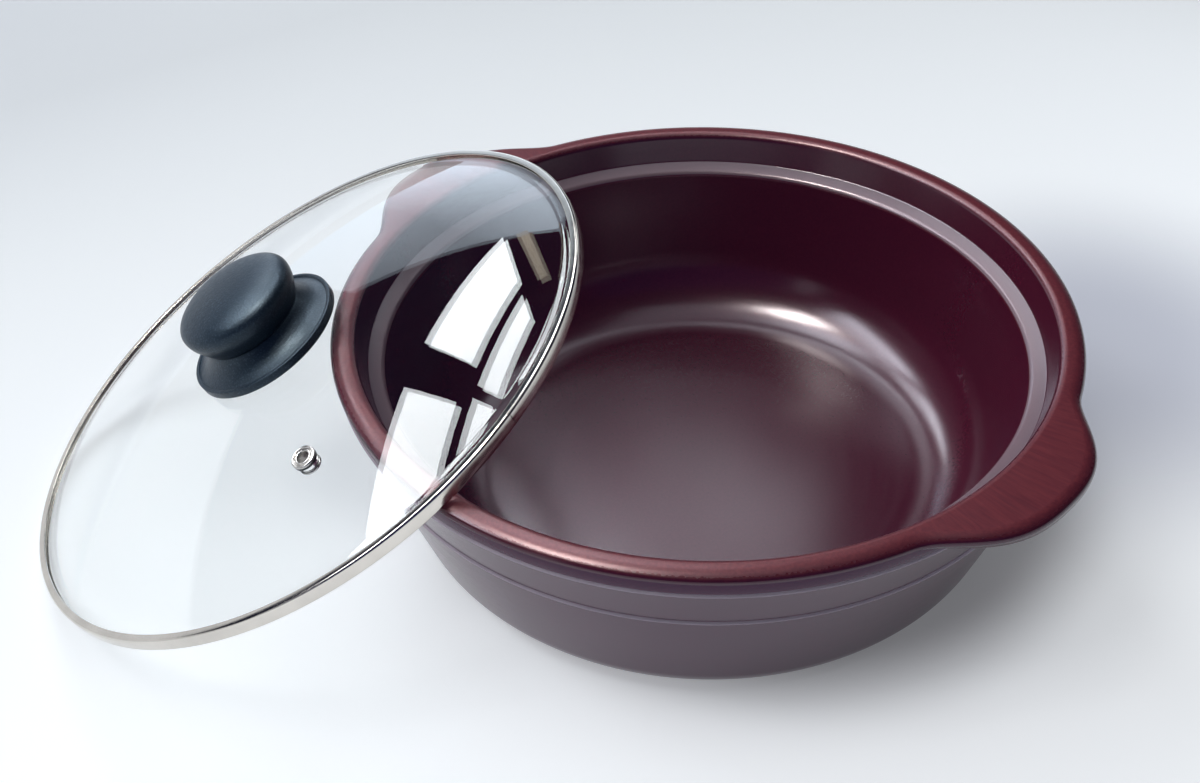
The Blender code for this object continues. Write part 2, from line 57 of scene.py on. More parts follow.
SEAT_CLEARANCE = 0.0034
SEAT_OVERLAP = 0.0024
SEAT_DEPTH = 0.0115
SEAT_FALL = 0.0022
SEAT_CORNER_ROUND = 0.0009
SEAT_EDGE_ROUND = 0.0030
COLLAR_DRAFT = 0.0036
RIM_WIDTH = 0.0085
RIM_EDGE_ROUND = 0.0032
POT_HEIGHT = 0.0820
BASE_CORNER_ROUND = 0.0200
FLOOR_THICKNESS = 0.0090
FLOOR_ROUND = 0.0300
LIP_THICKNESS = 0.0034
LIP_OVERHANG = 0.0017
LIP_ROUND = 0.0021
RIM_CROWN_RADIUS = 0.0080
RIM_CROWN_START = 60.0
LIP_ROOT = 0.0012
LIP_ROOT_REACH = 0.6          # how far the lip's underside goes along with an ear
OUTER_TAPER = 0.340
INNER_TAPER = 0.210
STEP_SIZE = 0.0006
STEP_BELOW_EARS = 0.0009
STEP_SPACING = 0.0190
STEP_ROUND = STEP_SIZE * 1.6
STEP_DEPTH = STEP_SIZE * 0.7
STEP_RISE = STEP_SIZE * 1.5
CREST_HIGHLIGHT_BELOW = 0.0004          # how far a step's painted pale highlight runs on below and above it
CREST_HIGHLIGHT_ABOVE = 0.0003
CREST_HIGHLIGHT_FADE = 0.8              # how much of the painted highlight is left at the step's top
SEAT_THINNESS = 0.3           # how thin the glaze runs at the seat's edge, against the rim
OUTSIDE_GLOSS = 0.33          # the glaze's gloss level outside, against 0.5 inside
SEAT_PAINTED_SHEEN = 0.35              # how much of the steps' painted highlight colour is painted on the seat as its sheen

EAR_AZIMUTH = radians(-39.6)
EAR_REACH = 0.0158
EAR_HALF_ANGLE = radians(21.5)
EAR_SHOULDER = 1.54
EAR_EDGE_EXTRA = 0.0016
EAR_ROOT_DEPTH = 0.0040

VENT_DISTANCE = 0.0717
VENT_AZIMUTH = radians(-77.6)
VENT_BORE_RADIUS = 0.0022
VENT_WALL = 0.0009
VENT_FLANGE_WIDTH = 0.0015
VENT_FLANGE_HEIGHT = 0.0019
VENT_WASHER_THICKNESS = 0.0006
VENT_NECK_SHARE = 0.45        # the neck's share of the flange's height
VENT_NECK_PLAY = 0.0001
VENT_BEAD = 1.3               # outer bead's radius, against the inner bead's

KNOB_NECK_RADIUS = 0.0200
KNOB_NECK_HEIGHT = 0.0092
GRIP_FLARE = 0.0033
GRIP_HEIGHT = 0.0164
GRIP_CROWN = 0.0040
GRIP_SHOULDER = 0.0034
GRIP_FULLNESS = 0.90          # 1 gives an ellipse; less gives a fuller shoulder
SKIRT_FLARE = 0.0096
SKIRT_EDGE = 0.0020
SKIRT_WALL = 0.0016
SKIRT_DROP = 0.0007
RIM_LINE_RISE = 0.0006
RIM_LINE_WIDTH = 0.0012
KNOB_SOFTENING = 0.0004
SKIRT_SOFTENING = KNOB_SOFTENING * 0.7
BOSS_RADIUS = 0.0110

SCREW_RADIUS = 0.0024
HOLE_CLEARANCE = 0.0011
GASKET_THICKNESS = 0.0010
INSERT_WALL = 0.0019
INSERT_COVER = 0.0054

LEAN_AZIMUTH = radians(189.2)
LEAN_PLACE = radians(185.06)
LEAN_STANDOFF = 0.0141

# Sizes that follow from these
SEAT_RADIUS = LID_RADIUS + SEAT_CLEARANCE
MOUTH_RADIUS = LID_RADIUS - SEAT_OVERLAP
RIM_INNER_RADIUS = SEAT_RADIUS + COLLAR_DRAFT
RIM_RADIUS = RIM_INNER_RADIUS + RIM_WIDTH
WALL_TOP_RADIUS = RIM_RADIUS - LIP_OVERHANG
FIRST_STEP_DEPTH = LIP_THICKNESS + LIP_ROOT + EAR_ROOT_DEPTH + STEP_BELOW_EARS
SECOND_STEP_DEPTH = FIRST_STEP_DEPTH + STEP_SPACING
GLASS_EDGE = LID_RADIUS - BAND_THICKNESS - GAP
GLASS_LOW = BAND_THICKNESS + GAP
BAND_HEIGHT = GLASS_LOW + GLASS_THICKNESS + GAP + BAND_THICKNESS
DOME_EDGE = LID_RADIUS - BAND_LIP - FLAT_SHOWN
DOME_SPHERE = (DOME_EDGE ** 2 + DOME_RISE ** 2) / (2 * DOME_RISE)
VENT_BARREL_RADIUS = VENT_BORE_RADIUS + VENT_WALL
VENT_FLANGE_RADIUS = VENT_BARREL_RADIUS + VENT_FLANGE_WIDTH
VENT_NECK_TOP = GAP + VENT_FLANGE_HEIGHT * VENT_NECK_SHARE
HOLE_RADIUS = SCREW_RADIUS + HOLE_CLEARANCE
THREAD_RADIUS = SCREW_RADIUS + GAP
INSERT_RADIUS = THREAD_RADIUS + INSERT_WALL
GRIP_RADIUS = KNOB_NECK_RADIUS + GRIP_FLARE
BASE_RADIUS = KNOB_NECK_RADIUS + SKIRT_FLARE

# How finely the turned shapes are cut
POT_COLUMNS = 384
LID_COLUMNS = 256
KNOB_COLUMNS = 128
SMALL_COLUMNS = 64
DOME_RINGS = 48
LIP_PARTS = 8
RIM_PARTS = 12
CROWN_PARTS = 40
WAIST_PARTS = 20
FLARE_PARTS = 24
ARC_POINTS = 9
BASE_ARC_POINTS = 28
RIM_ARC_POINTS = 14
FLOOR_ARC_POINTS = 40
BAND_ARC_POINTS = 7
BEAD_POINTS = 15
SHARP_EDGE = radians(38)
FLAT_CORNER = radians(80)     # half the angle from which a corner is flat enough to keep
ROUND_ROOM = 0.45             # a rounding's share of a short side
MERGE = 0.000001

# Finishes. Scales are per metre, depths in metres.
SPREAD = (0.3, 0.7)                    # where most of a noise's values lie
GLAZE_DEEP = (0.056, 0.0042, 0.0150)
GLAZE_LIGHT = (0.073, 0.0064, 0.0182)
GLAZE_THIN = (0.185, 0.030, 0.037)     # where it runs thin, on the rim
GLAZE_CREST_HIGHLIGHT = (0.44, 0.38, 0.43)       # pale colour painted on the steps' edges, where the glaze runs thin, as their highlight; also on the seat as its sheen
GLAZE_PAINTED_GLOW = (0.10, 0.14, 0.60)       # faint blue glow painted into the glaze, standing in for the blue tint of its shade
GLAZE_PAINTED_GLOW_STRENGTH = 0.005
GLAZE_ROUGHNESS = (0.175, 0.21)
GLAZE_IOR = 1.62
GLAZE_GRAIN = 900.0
GLAZE_BLOOM = 700.0
GLAZE_RINGS = 500.0
RING_DULLNESS = 0.03
TURNING_LINES = 420.0
TURNING_DEPTH = 0.00001
PINHOLES = 2500.0
PINHOLE_DEPTH = 0.00002
THIN_DULLNESS = 0.12
SHEEN_INSIDE = (0.95, 0.91, 1.0)
SHEEN_OUTSIDE = (0.76, 0.58, 1.0)
SHEEN_THIN = (0.86, 0.62, 0.66)
GLASS_TINT = (0.985, 0.995, 0.993)
GLASS_SHADOW = (0.965, 0.975, 0.972)
GLASS_IOR = 1.5
GLASS_SMEARS = 22.0
SMEAR_ROUGHNESS = 0.035
GLASS_WAVES = 11.0
WAVE_DEPTH = 0.0001
CHARCOAL = (0.003, 0.010, 0.023)
CHARCOAL_FLECK = (0.032, 0.052, 0.080)
PLASTIC_ROUGHNESS = (0.34, 0.44)
PLASTIC_IOR = 1.55
PLASTIC_FLECKS = 1500.0
PLASTIC_WEAR = 400.0
PLASTIC_GRAIN = 1100.0
PLASTIC_DEPTH = 0.00014
PLASTIC_SHEEN = (0.62, 0.82, 1.0)
SILICONE = ((0.60, 0.62, 0.62), (0.72, 0.73, 0.72))
SILICONE_CLOUDS = 120.0
SILICONE_ROUGHNESS = (0.38, 0.52)
SILICONE_SCATTER = 0.3
SILICONE_DEPTH = (0.002, 0.002, 0.002)
# Metals: colour, roughness, scale of the fine lines
METALS = {
    "polished_steel": ((0.68, 0.64, 0.59), 0.14, 1800.0),
    "eyelet_steel": ((0.66, 0.64, 0.62), 0.26, 1500.0),
    # dark steel on the eyelet's neck, painted shade under its flange
    "painted_shade_steel": ((0.075, 0.078, 0.085), 0.38, 1500.0),
    "screw_steel": ((0.62, 0.61, 0.60), 0.28, 1200.0),
    "turned_brass": ((0.74, 0.56, 0.26), 0.30, 1200.0),
}
METAL_SMUDGES = 60.0
METAL_WEAR = 170.0
METAL_WEAR_RANGE = (0.75, 1.3)         # lowest and highest roughness, against its own
METAL_DEPTH = 0.00001
SMUDGE = 0.86                          # a smudged metal's share of its clean colour

# Camera, in the photograph's 1200 x 783 frame
CAMERA_PLACE = (0.0, -0.46906, 0.42772)
CAMERA_YAW = -0.0839165
CAMERA_PITCH = 0.685922
CAMERA_ROLL = -0.0302164
CAMERA_LENS = 47.656
SENSOR_WIDTH = 36

# Stage. What shows in gloss: a window to the left, a pale sweep behind, a lamp high on the left.
# Each upright card faces the pot; its azimuth is the way from the pot to it.
WINDOW_AZIMUTH = radians(170)
WINDOW_DISTANCE = 1.0
SILL = 0.985
RAIL_LOW = 1.32
RAIL_HIGH = 1.42
HEAD = 1.60
POST_NEAR = 0.44
POST_FAR = 0.64
PANE_NEAR_END = -0.62
PANE_FAR_END = 1.36
PANE_LEAN = 0.5               # how far the far edge of the window leans in, per height
RAIL_INSET = 0.09             # how far the upper panes' posts are set over
WINDOW_RADIANCE = 10.5
SWEEP_AZIMUTH = radians(61)
SWEEP_DISTANCE = 1.55
SWEEP_ENDS = (-3.9, -1.5)
SWEEP_HEIGHTS = (0.15, 1.51)
SWEEP_RADIANCE = 2.5
# Along the sweep, from its far left: (share of its length, share of its radiance)
SWEEP_LEVELS = ((0.0, 0.32), (0.19, 0.36), (0.62, 0.46), (0.90, 1.0), (1.0, 0.9))
SWEEP_COLOUR = (0.80, 0.92, 1.06)
STRIP_EYE = (-0.06, 0.03, 0.11)    # where the strip's azimuths and elevations are seen from
STRIP = ((112.0, 29.0), (113.6, 29.0), (116.5, 41.0), (114.8, 41.0))
STRIP_RADIANCE = 1.7
STRIP_COLOUR = (1.0, 0.88, 0.72)
DAYLIGHT = (0.93, 0.97, 1.0)
NIGHT = (0.45, 0.50, 1.0)     # what the gloss shows where there is no light
NIGHT_RADIANCE = 0.035
FRONT_NIGHT = (0.22, 0.25, 1.0)
FRONT_NIGHT_RADIANCE = 0.10
SQUARE = ((-1, -1), (1, -1), (1, 1), (-1, 1))
FLOOR_HALF = 5.0
WALL_DISTANCE = 4.5
# Dark walls that only gloss and glass show: azimuth in degrees, height of the lower edge
WALLS = {"window_wall": (170, 1.6), "right_wall": (355, 0.5), "back_wall": (70, 0.4)}
FRONT_WALL = (285, 0.8)
ROOM_HALF = 6.0
ROOM_HEIGHT = 6.0
PALE = (0.80, 0.83, 0.87)
PALE_FLOOR = (0.85, 0.88, 0.915)
FLOOR_ROUGHNESS = 0.7
FLOOR_GLOSS = 0.2
MIDDLE = (0.0, 0.0, 0.0)           # middle of the floor, under the pot
GREY_SHADE_FLOOR = (0.72, 0.745, 0.79)
GREY_SHADE_PLACE = (-0.65, 0.45, 0.0)    # middle of the floor's greyer part, painted shade
GREY_SHADE_REACH = (0.12, 0.50)
SHADE_FLOOR = (0.45, 0.47, 0.54)
SHADE_PLACE = (0.168, 0.090, 0.0)  # middle of the soft shadow right of the pot
SHADE_REACH = (0.03, 0.15)
FAR_REACH = (0.75, 2.0)            # where the floor passes into the background's colour
LIFT_AREA = (0.42, 0.80)           # the floor's painted light is added within the first, not beyond the second
LIFT_SLOPE = (0.60, -0.85, 0.0)    # how the floor's painted light grows across it, per metre
LIFT_RANGE = (-0.48, 0.18, 0.0, 0.60)
LIFT_PLACE = (0.03, 0.01, 0.0)     # middle of the floor's part with less painted light, by the pot, where its shadow stays darker
LIFT_REACH = (0.10, 0.14)
LIFT_NEAR = 0.3
AMBIENT = 0.035
SKY = (0.92, 0.95, 1.0)
# Soft boxes: azimuth and elevation of the middle, half its width and height, all in degrees,
# then radiance and colour. The lights light the object, the glosses only show in its gloss.
LIGHT_DISTANCE = 3.0
GLOSS_DISTANCE = 1.5
LIGHTS = {
    "far_light": (132, 36, 25, 8, 6.8, DAYLIGHT),
    "side_light": (176, 44, 15, 6, 6.0, DAYLIGHT),
    "near_light": (208, 22, 18, 7, 1.8, DAYLIGHT),
    "high_light": (206, 63, 9, 9, 4.6, (1.0, 0.98, 0.96)),
    "top_light": (300, 80, 16, 16, 1.0, (1.0, 1.0, 1.0)),
}
GLOSSES = {
    "lamp": (187, 71, 6, 6, 50.0, (1.0, 0.95, 0.86)),
    "skylight": (103, 54, 5, 7.5, 11.0, DAYLIGHT),
    "zenith": (100, 84, 14, 14, 0.8, (0.92, 0.94, 1.0)),
}
# Near glows over and behind the pot: as the glosses, with their distance in front
NEAR_GLOWS = {
    "back_glow": (0.53, 90.5, 45.5, 4.5, 5.0, 1.8, DAYLIGHT),
    "seat_glow": (0.737, 130.0, 66.5, 7.0, 6.0, 8.0, DAYLIGHT),
    "side_glow": (0.345, 81.8, 49.6, 5.8, 5.8, 2.5, DAYLIGHT),
}


def arc(centre, radius, start, end, count):
    """Points on an arc in the radius-height plane; the angles are in degrees."""
    points = []
    for index in range(count):
        angle = radians(start + (end - start) * index / (count - 1))
        points.append((centre[0] + radius * cos(angle), centre[1] + radius * sin(angle)))
    return points


def round_corner(before, corner, after, radius, count):
    """Points of the arc that rounds a corner of a profile."""
    first = (Vector(before) - Vector(corner)).normalized()
    second = (Vector(after) - Vector(corner)).normalized()
    half = acos(first.dot(second)) / 2
    centre = Vector(corner) + (first + second).normalized() * (radius / sin(half))
    start = Vector(corner) + first * (radius / tan(half)) - centre
    end = Vector(corner) + second * (radius / tan(half)) - centre
    points = []
    for index in range(count):
        direction = start.slerp(end, index / (count - 1)).normalized()
        points.append(tuple(centre + direction * radius))
    return points


def softened(points, radius, count=4, closed=True):
    """The same outline with each corner rounded, by no more than its short sides allow."""
    rounded = []
    total = len(points)
    for index, corner in enumerate(points):
        if not closed and index in (0, total - 1):
            rounded.append(corner)
            continue
        before, after = points[index - 1], points[(index + 1) % total]
        first = Vector(before) - Vector(corner)
        second = Vector(after) - Vector(corner)
        half = acos(max(-1.0, min(1.0, first.normalized().dot(second.normalized())))) / 2
        if half > FLAT_CORNER:
            rounded.append(corner)
            continue
        room = ROUND_ROOM * min(first.length, second.length) * tan(half)
        rounded += round_corner(before, corner, after, min(radius, room), count)
    return rounded


def turned(name, profile, columns, closed=False, open_angle=0.0):
    """Mesh object made by turning a profile about Z. open_angle leaves it split and capped."""
    steps = columns + 1 if open_angle else columns
    sweep = 2 * pi - open_angle
    points, faces, rings = [], [], []
    for radius, height in profile:
        if radius < MERGE:
            rings.append([len(points)] * steps)
            points.append((0.0, 0.0, height))
            continue
        rings.append(list(range(len(points), len(points) + steps)))
        for column in range(steps):
            angle = sweep * column / columns
            points.append((radius * cos(angle), radius * sin(angle), height))
    pairs = list(zip(rings, rings[1:]))
    if closed:
        pairs.append((rings[-1], rings[0]))
    for low, high in pairs:
        for column in range(columns):
            following = (column + 1) % steps
            corners = [low[column], low[following], high[following], high[column]]
            faces.append(list(dict.fromkeys(corners)))
    if open_angle:
        faces.append([ring[0] for ring in rings])
        faces.append([ring[-1] for ring in reversed(rings)])
    mesh = bpy.data.meshes.new(name)
    mesh.from_pydata(points, [], faces)
    place = mesh.attributes.new("own_place", "FLOAT_VECTOR", "POINT")
    place.data.foreach_set("vector", [value for point in points for value in point])
    shape = bmesh.new()
    shape.from_mesh(mesh)
    bmesh.ops.recalc_face_normals(shape, faces=shape.faces)
    shape.to_mesh(mesh)
    shape.free()
    mesh.shade_smooth()
    mesh.set_sharp_from_angle(angle=SHARP_EDGE)
    piece = bpy.data.objects.new(name, mesh)
    bpy.context.scene.collection.objects.link(piece)
    return piece


def drilled(piece, tools):
    """Cut the tools out of a piece and keep the result as its mesh."""
    for tool in tools:
        modifier = piece.modifiers.new(tool.name, "BOOLEAN")
        modifier.operation = "DIFFERENCE"
        modifier.solver = "EXACT"
        modifier.object = tool
    graph = bpy.context.evaluated_depsgraph_get()
    mesh = bpy.data.meshes.new_from_object(piece.evaluated_get(graph))
    piece.modifiers.clear()
    piece.data = mesh
    mesh.shade_smooth()
    mesh.set_sharp_from_angle(angle=SHARP_EDGE)
    for tool in tools:
        bpy.data.objects.remove(tool, do_unlink=True)


def ear_reach(azimuth):
    """How far the lip is pulled out at an azimuth."""
    nearest = pi
    for ear in (EAR_AZIMUTH, EAR_AZIMUTH + pi):
        nearest = min(nearest, abs((azimuth - ear + pi) % (2 * pi) - pi))
    if nearest >= EAR_HALF_ANGLE:
        return 0.0
    return EAR_REACH * 0.5 * (1 + cos(pi * (nearest / EAR_HALF_ANGLE) ** EAR_SHOULDER))


def outer_wall(depth):
    """Outer wall's radius at a depth below the rim, without its steps."""
    return WALL_TOP_RADIUS + STEP_SIZE - OUTER_TAPER * (depth - FIRST_STEP_DEPTH)


def inner_wall(depth):
    """Inner wall's radius at a depth below the rim."""
    return MOUTH_RADIUS - INNER_TAPER * (depth - SEAT_DEPTH - SEAT_FALL - SEAT_EDGE_ROUND)


def pot_outside():
    """Profile from the base's centre to the upper step, just below the lip."""
    base_corner = (outer_wall(POT_HEIGHT), 0.0)
    second = (outer_wall(SECOND_STEP_DEPTH), POT_HEIGHT - SECOND_STEP_DEPTH)
    first = (outer_wall(FIRST_STEP_DEPTH), POT_HEIGHT - FIRST_STEP_DEPTH)
    points = [(0.0, 0.0, 0.0)]
    for point in round_corner((0.0, 0.0), base_corner, second, BASE_CORNER_ROUND,
                              BASE_ARC_POINTS):
        points.append((*point, 0.0))
    below = points[-1][:2]
    for radius, height in (second, first):
        step = (radius - STEP_DEPTH, height + STEP_RISE)
        down = (Vector(below) - Vector((radius, height))).normalized()
        # the third value is how much pale highlight colour is painted on the step's edge
        points.append((radius + down.x * CREST_HIGHLIGHT_BELOW, height + down.y * CREST_HIGHLIGHT_BELOW, 0.0))
        for point in round_corner(below, (radius, height), step, STEP_ROUND, ARC_POINTS):
            points.append((*point, 1.0))
        points.append((*step, CREST_HIGHLIGHT_FADE))
        points.append((step[0] - down.x * CREST_HIGHLIGHT_ABOVE, step[1] - down.y * CREST_HIGHLIGHT_ABOVE, 0.0))
        below = step
    return points


def rim_edge():
    """The lip's rounded edge and crowned top, from its widest point to the highest."""
    share = cos(radians(RIM_CROWN_START))
    lift = sin(radians(RIM_CROWN_START))
    step = RIM_CROWN_RADIUS - LIP_ROUND
    round_centre = (RIM_RADIUS - LIP_ROUND, POT_HEIGHT - RIM_CROWN_RADIUS + step * lift)
    crown_centre = (RIM_RADIUS - LIP_ROUND - step * share, POT_HEIGHT - RIM_CROWN_RADIUS)
    points = arc(round_centre, LIP_ROUND, 0.0, RIM_CROWN_START, RIM_PARTS)
    return points + arc(crown_centre, RIM_CROWN_RADIUS, RIM_CROWN_START, 90.0, RIM_PARTS - 2)[1:]


def pot_lip():
    """Profile of the lip: radius, height, share of an ear's reach, and drop at an ear."""
    low = POT_HEIGHT - LIP_THICKNESS
    edge_height = low + (LIP_THICKNESS - LIP_ROUND) / 4
    corners = [
        (WALL_TOP_RADIUS, low - LIP_ROOT, 0.0, EAR_ROOT_DEPTH),
        (RIM_RADIUS - LIP_OVERHANG / 2, low - LIP_ROOT / 3, LIP_ROOT_REACH,
         EAR_ROOT_DEPTH / 2.5),
        (RIM_RADIUS - LIP_OVERHANG / 8, edge_height, 1.0, EAR_EDGE_EXTRA),
    ]
    stations = []
    for start, end in zip(corners, corners[1:]):
        for index in range(LIP_PARTS):
            share = index / LIP_PARTS
            stations.append(tuple(a + (b - a) * share for a, b in zip(start, end)))
    stations.append(corners[-1])
    for radius, height in rim_edge():
        stations.append((radius, height, 1.0, 0.0))
    return stations


def pot_inside():
    """Profile of the rim's inner edge, collar, seat, wall and floor, to the floor's centre."""
    rim_outer = (RIM_RADIUS, POT_HEIGHT)
    rim_inner = (RIM_INNER_RADIUS, POT_HEIGHT)
    seat_outer = (SEAT_RADIUS, POT_HEIGHT - SEAT_DEPTH)
    seat_inner = (MOUTH_RADIUS, POT_HEIGHT - SEAT_DEPTH - SEAT_FALL)
    floor_corner = (inner_wall(POT_HEIGHT - FLOOR_THICKNESS), FLOOR_THICKNESS)
    floor_centre = (0.0, FLOOR_THICKNESS)
    points = round_corner(rim_outer, rim_inner, seat_outer, RIM_EDGE_ROUND, RIM_ARC_POINTS)
    points += round_corner(rim_inner, seat_outer, seat_inner, SEAT_CORNER_ROUND,
                           BAND_ARC_POINTS)
    points += round_corner(seat_outer, seat_inner, floor_corner, SEAT_EDGE_ROUND,
                           RIM_ARC_POINTS)
    points += round_corner(seat_inner, floor_corner, floor_centre, FLOOR_ROUND,
                           FLOOR_ARC_POINTS)
    points.append(floor_centre)
    return points


def rim_thinness(radius, height):
    """How thin the glaze runs on the rim's top and at the seat's edge, from 0 to 1."""
    top = (height - (POT_HEIGHT - LIP_THICKNESS / 2)) / (LIP_THICKNESS / 2)
    seat = 1 - abs(radius - MOUTH_RADIUS - SEAT_EDGE_ROUND / 3) / SEAT_EDGE_ROUND
    seat_low = POT_HEIGHT - SEAT_DEPTH - SEAT_FALL - SEAT_EDGE_ROUND / 2
    if height > seat_low and radius < SEAT_RADIUS:
        return SEAT_THINNESS * max(0.0, min(1.0, seat))
    return max(0.0, min(1.0, top))


def make_pot():
    """The glazed pot. Its points carry where a pale highlight is painted on the glaze, where the
    glaze is thin, and where it is outside.
    """
    outside = pot_outside()
    stations = [(radius, height, 0.0, 0.0) for radius, height, crest_highlight in outside]
    crest_highlights = [crest_highlight for radius, height, crest_highlight in outside]
    stations += pot_lip()
    stations += [(radius, height, 0.0, 0.0) for radius, height in pot_inside()]
    for radius, height, reach, drop in stations[len(crest_highlights):]:
        # the seat gets some of the painted highlight colour, as its sheen
        painted_sheen = MOUTH_RADIUS < radius < SEAT_RADIUS and height < POT_HEIGHT - SEAT_DEPTH + MERGE
        crest_highlights.append(SEAT_PAINTED_SHEEN if painted_sheen else 0.0)
    pot = turned("pot_glazed", [station[:2] for station in stations], POT_COLUMNS)
    names = ("crest_highlight", "thin_glaze", "outside")
    for name in names:
        pot.data.attributes.new(name, "FLOAT", "POINT")
    crest_highlight_data, thin_data, outside_data = [pot.data.attributes[name].data for name in names]
    outside_count = len(outside) + 2 * LIP_PARTS
    index = 0
    for number, (radius, height, reach, drop) in enumerate(stations):
        if radius < MERGE:
            index += 1
            continue
        thin = rim_thinness(radius, height)
        for column in range(POT_COLUMNS):
            azimuth = 2 * pi * column / POT_COLUMNS
            pull = ear_reach(azimuth)
            out = radius + reach * pull
            low = height - drop * sqrt(pull / EAR_REACH)
            pot.data.vertices[index].co = (out * cos(azimuth), out * sin(azimuth), low)
            crest_highlight_data[index].value = crest_highlights[number]
            outside_data[index].value = float(number < outside_count)
            thin_data[index].value = thin
            index += 1
    return pot


def glass_height(radius):
    """Underside of the glass, above the lid's lower edge."""
    if radius > DOME_EDGE:
        return GLASS_LOW
    return GLASS_LOW + DOME_RISE - (DOME_SPHERE - sqrt(DOME_SPHERE ** 2 - radius ** 2))


def make_glass():
    """Domed glass with its flat edge, centre hole and vent hole."""
    under = []
    for index in range(DOME_RINGS):
        radius = HOLE_RADIUS + (DOME_EDGE - HOLE_RADIUS) * index / (DOME_RINGS - 1)
        under.append((radius, glass_height(radius)))
    under.append((GLASS_EDGE, GLASS_LOW))
    over = [(radius, height + GLASS_THICKNESS) for radius, height in reversed(under)]
    glass = turned("glass_dome", under + over, LID_COLUMNS, closed=True)
    drill = bmesh.new()
    bmesh.ops.create_cone(drill, cap_ends=True, segments=SMALL_COLUMNS,
                          radius1=VENT_BARREL_RADIUS + GAP, radius2=VENT_BARREL_RADIUS + GAP,
                          depth=4 * GLASS_THICKNESS)
    mesh = bpy.data.meshes.new("vent_drill")
    drill.to_mesh(mesh)
    drill.free()
    tool = bpy.data.objects.new("vent_drill", mesh)
    bpy.context.scene.collection.objects.link(tool)
    tool.matrix_world = vent_matrix()
    drilled(glass, [tool])
    return glass


def make_band():
    """Rolled steel channel that grips the glass's edge; its ends meet at a seam."""
    inside = LID_RADIUS - BAND_LIP
    wall = BAND_THICKNESS
    outer = BAND_THICKNESS + BAND_BEND
    points = [(inside, wall), (inside, 0.0)]
    points += [(LID_RADIUS, 0.0), (LID_RADIUS, BAND_HEIGHT)]
    points += [(inside, BAND_HEIGHT), (inside, BAND_HEIGHT - wall)]
    points += [(LID_RADIUS - wall, BAND_HEIGHT - wall), (LID_RADIUS - wall, wall)]
    rounds = [wall / 2, wall / 2, outer, outer, wall / 2, wall / 2, BAND_BEND, BAND_BEND]
    profile = []
    total = len(points)
    for index, corner in enumerate(points):
        before, after = points[index - 1], points[(index + 1) % total]
        profile += round_corner(before, corner, after, rounds[index] * BAND_ROUND_SHARE,
                                BAND_ARC_POINTS)
    band = turned("steel_band", profile, LID_COLUMNS, closed=True,
                  open_angle=BAND_SEAM_GAP / LID_RADIUS)
    band.data.transform(Matrix.Rotation(BAND_SEAM_AZIMUTH, 4, "Z"))
    return band


def vent_matrix():
    """Place of a piece that stands square to the glass at the vent, in the lid's frame."""
    over = glass_height(VENT_DISTANCE) + GLASS_THICKNESS
    place = (VENT_DISTANCE * cos(VENT_AZIMUTH), VENT_DISTANCE * sin(VENT_AZIMUTH), over)
    turn = Euler((0.0, asin(VENT_DISTANCE / DOME_SPHERE), VENT_AZIMUTH))
    return Matrix.Translation(place) @ turn.to_matrix().to_4x4()


def make_eyelet():
    """Rolled steel eyelet: a bead round the bore, a groove, then a wider outer bead."""
    washer_low = -GLASS_THICKNESS - GAP - VENT_WASHER_THICKNESS
    clinch = washer_low - GAP
    top = GAP + VENT_FLANGE_HEIGHT
    roll = VENT_WALL / 2
    low = clinch - roll
    bead = roll * VENT_BEAD
    points = arc((VENT_BORE_RADIUS + roll, low), roll, 180, 360, ARC_POINTS)
    points += [(VENT_BARREL_RADIUS, VENT_NECK_TOP), (VENT_FLANGE_RADIUS - roll / 2, VENT_NECK_TOP)]
    points += arc((VENT_FLANGE_RADIUS - bead, top - bead), bead, 0, 180, BEAD_POINTS)
    points.append((VENT_BARREL_RADIUS + roll / 6, top - roll * 1.2))
    points += arc((VENT_BORE_RADIUS + roll, top - roll), roll, 0, 180, ARC_POINTS + 2)
    eyelet = turned("eyelet_rolled", points, SMALL_COLUMNS, closed=True)
    eyelet.data.transform(vent_matrix())
    return eyelet


def make_neck():
    """The eyelet's neck, between its flange and the glass, in dark steel that paints the shade
    under the flange.
    """
    neck = ring("eyelet_neck", VENT_BARREL_RADIUS + VENT_NECK_PLAY,
                VENT_FLANGE_RADIUS - VENT_NECK_PLAY, GAP, VENT_NECK_TOP, VENT_NECK_PLAY)
    neck.data.transform(vent_matrix())
    return neck


def ring(name, inner, outer, low, high, edge):
    """Flat ring with softened edges."""
    corners = [(inner, low), (outer, low), (outer, high), (inner, high)]
    return turned(name, softened(corners, edge), SMALL_COLUMNS, closed=True)


def knob_heights():
    """Heights of the knob's boss and neck in the lid's frame."""
    boss = glass_height(0.0) + GLASS_THICKNESS + GAP + GASKET_THICKNESS + GAP
    return boss, boss + KNOB_NECK_HEIGHT


def make_skirt():
    """The knob's flared base, hollow under, with a raised line near its edge."""
    boss, neck = knob_heights()
    soft = KNOB_SOFTENING
    edge_top = boss + SKIRT_EDGE
    low = boss - SKIRT_DROP
    line_top = edge_top + RIM_LINE_RISE
    line_inner = BASE_RADIUS - soft - RIM_LINE_WIDTH
    ceiling = edge_top - SKIRT_WALL / 2
    skirt_inner = BASE_RADIUS - SKIRT_WALL
    points = [(HOLE_RADIUS, boss), (BOSS_RADIUS, boss), (BOSS_RADIUS, ceiling)]
    points += [(skirt_inner, ceiling - SKIRT_WALL / 2), (skirt_inner, low)]
    points += [(BASE_RADIUS, low), (BASE_RADIUS, line_top - soft / 2)]
    points += [(BASE_RADIUS - soft, line_top), (line_inner + soft, line_top)]
    points.append((line_inner, edge_top))
    for index in range(1, FLARE_PARTS):
        share = index / (FLARE_PARTS - 1)
        radius = line_inner + (KNOB_NECK_RADIUS - line_inner) * share
        rise = (neck - soft - edge_top) * (share + share ** 3) / 2
        points.append((radius, edge_top + rise))
    points += [(KNOB_NECK_RADIUS - soft, neck), (HOLE_RADIUS, neck)]
    return turned("knob_skirt", softened(points, SKIRT_SOFTENING), KNOB_COLUMNS, closed=True)


